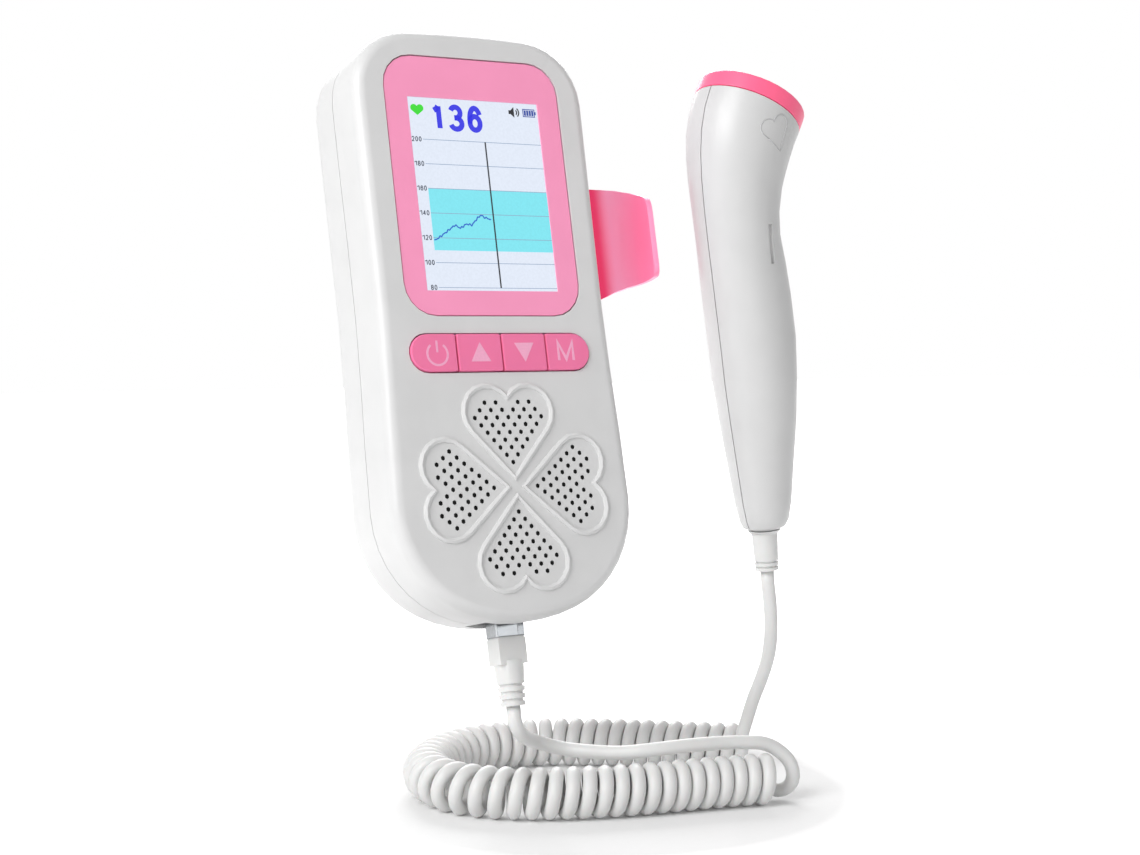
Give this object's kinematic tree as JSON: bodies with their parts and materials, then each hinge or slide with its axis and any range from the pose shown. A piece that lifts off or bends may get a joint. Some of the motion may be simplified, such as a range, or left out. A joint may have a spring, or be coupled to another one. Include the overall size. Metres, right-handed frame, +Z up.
{
  "type": "fetal doppler monitor",
  "caption": "Hand-held fetal heart monitor: a rounded white display unit with a pink bezel and push buttons, a clover speaker grille, a holder arm, and a probe on a curly cord.",
  "frame": {"origin": "middle of the probe's grip, on its bent centre line", "axes": "+Z up, -Y towards the viewer, +X to the right with the display unit on the -X side; the display unit leans back 12.66 degrees"},
  "size_m": [0.1153, 0.0825, 0.1941],
  "materials": {
    "white_shell": "satin moulded ABS",
    "pink_trim": "satin moulded ABS",
    "pink_button": "moulded silicone",
    "pink_arm": "satin moulded ABS",
    "clear_pane": "polished acrylic",
    "lcd_glass": "display glass",
    "dark_plastic": "moulded nylon",
    "board": "soldermask on glass fibre",
    "steel": "plated steel",
    "cell": "printed wrap over a metal can",
    "speaker_paper": "pressed paper cone",
    "cord_jacket": "smooth TPU jacket",
    "clear_plug": "clear polycarbonate",
    "window_resin": "cast epoxy",
    "crystal": "silvered piezo ceramic"
  },
  "bodies": {
    "probe_set": {"plug_body": "clear_plug", "plug_boot": "cord_jacket", "monitor_lead": "cord_jacket", "curly_cord": "cord_jacket", "probe_lead": "cord_jacket", "probe_strain_relief": "cord_jacket", "probe_shell_left": "white_shell", "probe_shell_right": "white_shell", "probe_ring": "pink_trim", "acoustic_window": "window_resin", "transmit_crystal": "crystal", "receive_crystal": "crystal", "transducer_backing": "dark_plastic", "probe_board": "board"},
    "display_unit": {"front_cover": "white_shell", "back_cover": "white_shell", "screen_bezel": "pink_trim", "screen_pane": "clear_pane", "lcd_panel": "lcd_glass", "lcd_frame": "steel", "main_board": "board", "processor_chip": "dark_plastic", "power_switch": "dark_plastic", "up_switch": "dark_plastic", "down_switch": "dark_plastic", "menu_switch": "dark_plastic", "speaker_basket": "steel", "speaker_cone": "speaker_paper", "speaker_magnet": "steel", "battery_tray": "dark_plastic", "contact_plate": "steel", "battery_cell_1": "cell", "battery_cell_2": "cell", "battery_spring_1": "steel", "battery_spring_2": "steel", "case_screw_1": "steel", "case_screw_2": "steel", "case_screw_3": "steel", "case_screw_4": "steel", "probe_arm": "pink_arm", "arm_screw_1": "steel", "arm_screw_2": "steel", "probe_socket": "dark_plastic"},
    "power_key": {"power_button": "pink_button"},
    "up_key": {"up_button": "pink_button"},
    "down_key": {"down_button": "pink_button"},
    "menu_key": {"menu_button": "pink_button"},
    "door": {"battery_door": "white_shell"}
  },
  "joints": [
    {"name": "unit_off_plug", "type": "slide", "parent": "probe_set", "child": "display_unit", "axis": [0, 0.2192, 0.9757], "range_m": [0, 0.012]},
    {"name": "power_press", "type": "slide", "parent": "display_unit", "child": "power_key", "axis": [0, 0.9757, -0.2192], "range_m": [0, 0.0006], "stiffness_N_per_m": 1500, "springref_m": -0.0003},
    {"name": "up_press", "type": "slide", "parent": "display_unit", "child": "up_key", "axis": [0, 0.9757, -0.2192], "range_m": [0, 0.0006], "stiffness_N_per_m": 1500, "springref_m": -0.0003},
    {"name": "down_press", "type": "slide", "parent": "display_unit", "child": "down_key", "axis": [0, 0.9757, -0.2192], "range_m": [0, 0.0006], "stiffness_N_per_m": 1500, "springref_m": -0.0003},
    {"name": "menu_press", "type": "slide", "parent": "display_unit", "child": "menu_key", "axis": [0, 0.9757, -0.2192], "range_m": [0, 0.0006], "stiffness_N_per_m": 1500, "springref_m": -0.0003},
    {"name": "door_slide", "type": "slide", "parent": "display_unit", "child": "door", "axis": [0, -0.2192, -0.9757], "range_m": [0, 0.012]}
  ]
}
